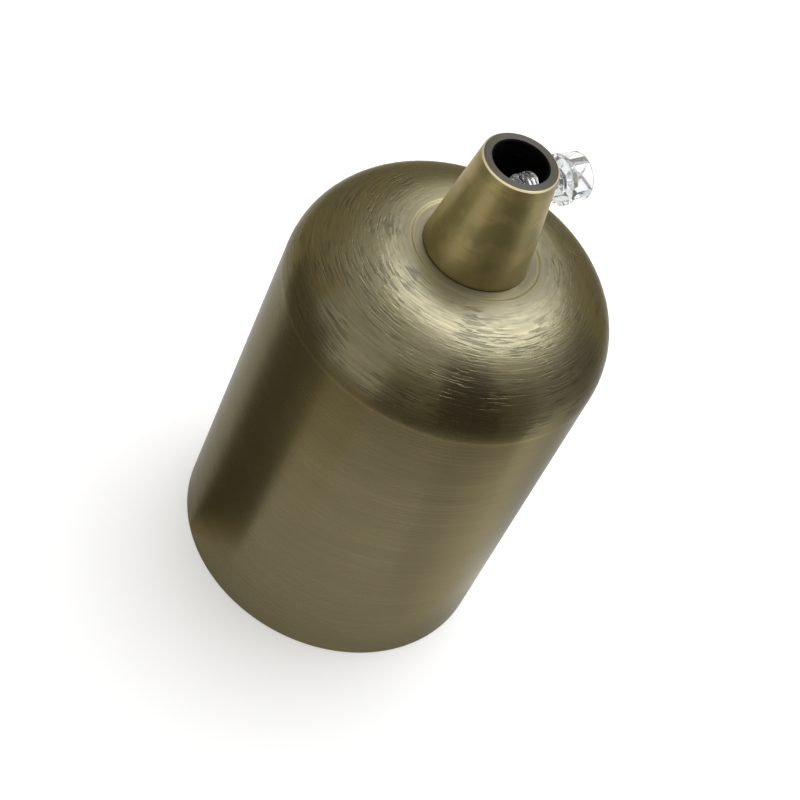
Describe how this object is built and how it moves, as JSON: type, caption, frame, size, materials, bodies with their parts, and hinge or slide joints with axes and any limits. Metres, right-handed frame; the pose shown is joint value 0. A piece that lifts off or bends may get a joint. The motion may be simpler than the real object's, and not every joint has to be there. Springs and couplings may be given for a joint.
{
  "type": "lamp holder",
  "caption": "Pendant lamp holder: drawn metal cup with a domed top, tapered cord grip with a clear plastic screw, and a porcelain screw socket with a sprung centre contact inside.",
  "frame": {"origin": "centre of the cup's open rim, on the plane that the rim stands on", "axes": "+Z along the axis of the cup towards the cord grip, +X along the grip screw towards its head"},
  "size_m": [0.046, 0.046, 0.0803],
  "materials": {
    "antique_brass": "brushed, antique bronze tone",
    "bare_brass": "turned, bare",
    "nickel": "nickel plated",
    "zinc_steel": "zinc plated",
    "spring_steel": "bare spring steel",
    "porcelain": "white glaze",
    "clear_plastic": "clear, moulded",
    "fibre": "pressed fibre"
  },
  "bodies": {
    "holder": {"cup": "antique_brass", "cord_grip_cone": "antique_brass", "threaded_tube": "zinc_steel", "toothed_washer": "spring_steel", "lock_nut": "zinc_steel", "bracket": "zinc_steel", "bracket_hub": "zinc_steel", "grub_screw": "spring_steel", "earth_plate": "bare_brass", "porcelain_body": "porcelain", "frame_screw_left": "zinc_steel", "frame_screw_right": "zinc_steel", "frame_nut_left": "zinc_steel", "frame_nut_right": "zinc_steel", "fibre_washer_left": "fibre", "fibre_washer_right": "fibre", "spring_washer_left": "spring_steel", "spring_washer_right": "spring_steel", "screw_shell": "nickel", "shell_rivet_left": "bare_brass", "shell_rivet_right": "bare_brass", "live_strap": "bare_brass", "neutral_strap": "bare_brass", "live_terminal": "bare_brass", "neutral_terminal": "bare_brass", "contact_guide": "bare_brass", "contact_spring": "spring_steel"},
    "grip_screw": {"grip_screw": "clear_plastic"},
    "centre_contact": {"contact_plunger": "bare_brass", "plunger_clip": "spring_steel"},
    "live_terminal_screw": {"live_terminal_screw": "zinc_steel"},
    "neutral_terminal_screw": {"neutral_terminal_screw": "zinc_steel"},
    "earth_screw": {"earth_screw": "bare_brass"}
  },
  "joints": [
    {"name": "grip_screw_travel", "type": "slide", "parent": "holder", "child": "grip_screw", "axis": [1, 0, 0], "range_m": [-0.0012, 0.0025]},
    {"name": "centre_contact_travel", "type": "slide", "parent": "holder", "child": "centre_contact", "axis": [0, 0, 1], "range_m": [0, 0.002], "stiffness_N_per_m": 900, "springref_m": -0.002, "deforming": ["contact_spring"]},
    {"name": "live_terminal_screw_travel", "type": "slide", "parent": "holder", "child": "live_terminal_screw", "axis": [0, 0, 1], "range_m": [0, 0.003]},
    {"name": "neutral_terminal_screw_travel", "type": "slide", "parent": "holder", "child": "neutral_terminal_screw", "axis": [0, 0, 1], "range_m": [0, 0.003]},
    {"name": "earth_screw_travel", "type": "slide", "parent": "holder", "child": "earth_screw", "axis": [0, 0, 1], "range_m": [0, 0.0025]}
  ]
}
